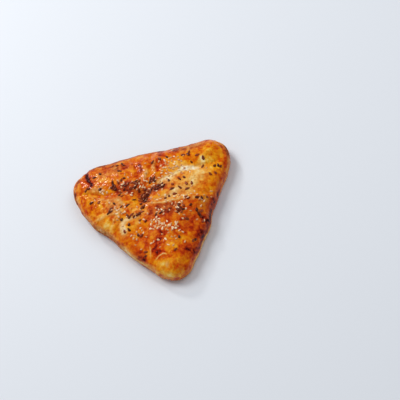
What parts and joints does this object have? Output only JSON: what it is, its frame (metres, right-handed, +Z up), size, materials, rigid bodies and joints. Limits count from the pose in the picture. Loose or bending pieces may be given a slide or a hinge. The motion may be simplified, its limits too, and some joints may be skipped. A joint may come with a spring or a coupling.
{
  "type": "baked triangular samosa",
  "caption": "Large baked samosa: a triangular puff-pastry parcel with folded-over flaps, a rolled edge and a flat base, sprinkled with sesame and nigella seeds.",
  "frame": {"origin": "middle of the plan triangle, on the flat base", "axes": "+Z up, -Y towards the front corner, +X towards the right of the back edge"},
  "size_m": [0.1567, 0.1453, 0.0285],
  "materials": {
    "baked_crust": "egg-washed, golden to deep orange-brown, softly glossy",
    "white_sesame": "toasted cream, satin",
    "dark_seed": "brown-black, dull"
  },
  "bodies": {
    "root": {"pastry": "baked_crust"}
  },
  "joints": []
}
